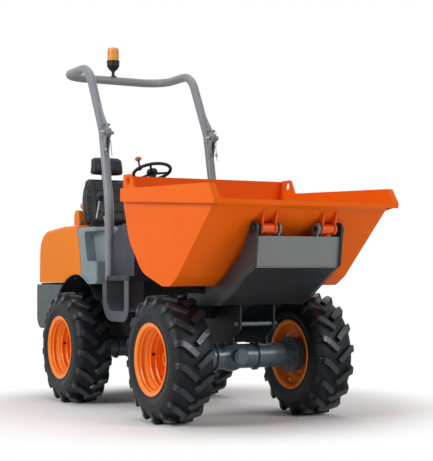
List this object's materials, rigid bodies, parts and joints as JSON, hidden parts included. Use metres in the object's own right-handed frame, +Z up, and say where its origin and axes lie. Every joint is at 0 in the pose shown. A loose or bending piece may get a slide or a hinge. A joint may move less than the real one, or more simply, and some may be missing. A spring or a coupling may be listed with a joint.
{
  "type": "site dumper",
  "caption": "Compact articulated site dumper with forward-tipping skip, folding roll-over hoop, operator seat and rear engine cover.",
  "frame": {"origin": "on the ground, midway between the skip's lip and the back of the counterweight, on the centre plane", "axes": "+X forward, +Y to the operator's left, +Z up"},
  "size_m": [2.957, 1.214, 2.555],
  "materials": {
    "orange_paint": "gloss",
    "cover_orange": "gloss",
    "grey_paint": "satin",
    "tower_grey": "satin",
    "panel_grey": "satin",
    "dark_panel": "matte",
    "black_paint": "satin",
    "black_plastic": "matte",
    "seat_black": "matte",
    "tyre_rubber": "matte",
    "cast_grey": "matte",
    "chrome_rod": "polished",
    "amber_lens": "gloss"
  },
  "bodies": {
    "rear_chassis": {"rear_chassis": "black_paint", "rear_axle": "black_paint", "counterweight": "cast_grey", "engine_block": "cast_grey", "side_panel_left": "panel_grey", "side_panel_right": "panel_grey", "fender_liners": "black_plastic", "platform": "dark_panel", "console": "dark_panel", "steps": "grey_paint", "rops_posts": "grey_paint", "steering_column": "black_plastic", "steering_wheel": "black_plastic", "control_levers": "black_plastic"},
    "front_chassis": {"front_chassis": "black_paint", "front_axle": "black_paint", "tower_arm_left": "tower_grey", "tower_arm_right": "tower_grey", "tower_face": "tower_grey", "tower_belly": "black_paint", "pivot_pins": "black_paint"},
    "skip": {"skip_floor": "orange_paint", "skip_side_left": "orange_paint", "skip_side_right": "orange_paint", "skip_lip": "orange_paint", "skip_brackets": "orange_paint"},
    "tipping_barrel": {"tipping_barrel": "black_paint"},
    "tipping_rod": {"tipping_rod": "chrome_rod"},
    "steering_barrel": {"steering_barrel": "black_paint"},
    "steering_rod": {"steering_rod": "chrome_rod"},
    "hoop": {"rops_hoop": "grey_paint", "beacon_base": "black_plastic", "beacon_lens": "amber_lens"},
    "cover": {"engine_cover": "cover_orange", "marker_lamp": "amber_lens", "seat_cushion": "seat_black", "seat_back": "seat_black"},
    "wheel_front_left": {"tyre_front_left": "tyre_rubber", "rim_front_left": "orange_paint"},
    "wheel_front_right": {"tyre_front_right": "tyre_rubber", "rim_front_right": "orange_paint"},
    "wheel_rear_left": {"tyre_rear_left": "tyre_rubber", "rim_rear_left": "orange_paint"},
    "wheel_rear_right": {"tyre_rear_right": "tyre_rubber", "rim_rear_right": "orange_paint"}
  },
  "joints": [
    {"name": "articulation", "type": "hinge", "parent": "rear_chassis", "child": "front_chassis", "pos_m": [-0.02, 0, 0.49], "axis": [0, 0, 1], "range_deg": [-33, 33]},
    {"name": "skip_tip", "type": "hinge", "parent": "front_chassis", "child": "skip", "pos_m": [1.345, 0, 1.122], "axis": [0, 1, 0], "range_deg": [0, 80]},
    {"name": "tipping_barrel_turn", "type": "hinge", "parent": "front_chassis", "child": "tipping_barrel", "pos_m": [0.34, 0, 0.47], "axis": [0, -1, 0], "range_deg": [0, 20.73]},
    {"name": "tipping_rod_slide", "type": "slide", "parent": "tipping_barrel", "child": "tipping_rod", "axis": [0.8803, 0, 0.4744], "range_m": [0, 0.2404]},
    {"name": "steering_barrel_turn", "type": "hinge", "parent": "rear_chassis", "child": "steering_barrel", "pos_m": [-0.262, -0.19, 0.6], "axis": [0, 0, 1], "range_deg": [-12.51, 12.51]},
    {"name": "steering_rod_slide", "type": "slide", "parent": "steering_barrel", "child": "steering_rod", "axis": [0.9986, 0.0533, 0], "range_m": [-0.10021, 0.10021]},
    {"name": "hoop_fold", "type": "hinge", "parent": "rear_chassis", "child": "hoop", "pos_m": [-0.372, 0, 1.819], "axis": [0, 1, 0], "range_deg": [0, 150]},
    {"name": "cover_lift", "type": "hinge", "parent": "rear_chassis", "child": "cover", "pos_m": [-1.425, 0, 0.845], "axis": [0, -1, 0], "range_deg": [0, 55]},
    {"name": "roll_front_left", "type": "hinge", "parent": "front_chassis", "child": "wheel_front_left", "pos_m": [0.69, 0.475, 0.375], "axis": [0, 1, 0], "continuous": true},
    {"name": "roll_front_right", "type": "hinge", "parent": "front_chassis", "child": "wheel_front_right", "pos_m": [0.69, -0.475, 0.375], "axis": [0, 1, 0], "continuous": true},
    {"name": "roll_rear_left", "type": "hinge", "parent": "rear_chassis", "child": "wheel_rear_left", "pos_m": [-0.73, 0.475, 0.375], "axis": [0, 1, 0], "continuous": true},
    {"name": "roll_rear_right", "type": "hinge", "parent": "rear_chassis", "child": "wheel_rear_right", "pos_m": [-0.73, -0.475, 0.375], "axis": [0, 1, 0], "continuous": true}
  ],
  "couplings": [
    {"joint": "tipping_barrel_turn", "follows": "skip_tip", "ratio": 0.25914},
    {"joint": "tipping_rod_slide", "follows": "skip_tip", "m_per_rad": 0.17218},
    {"joint": "steering_barrel_turn", "follows": "articulation", "ratio": 0.379},
    {"joint": "steering_rod_slide", "follows": "articulation", "m_per_rad": 0.174}
  ]
}
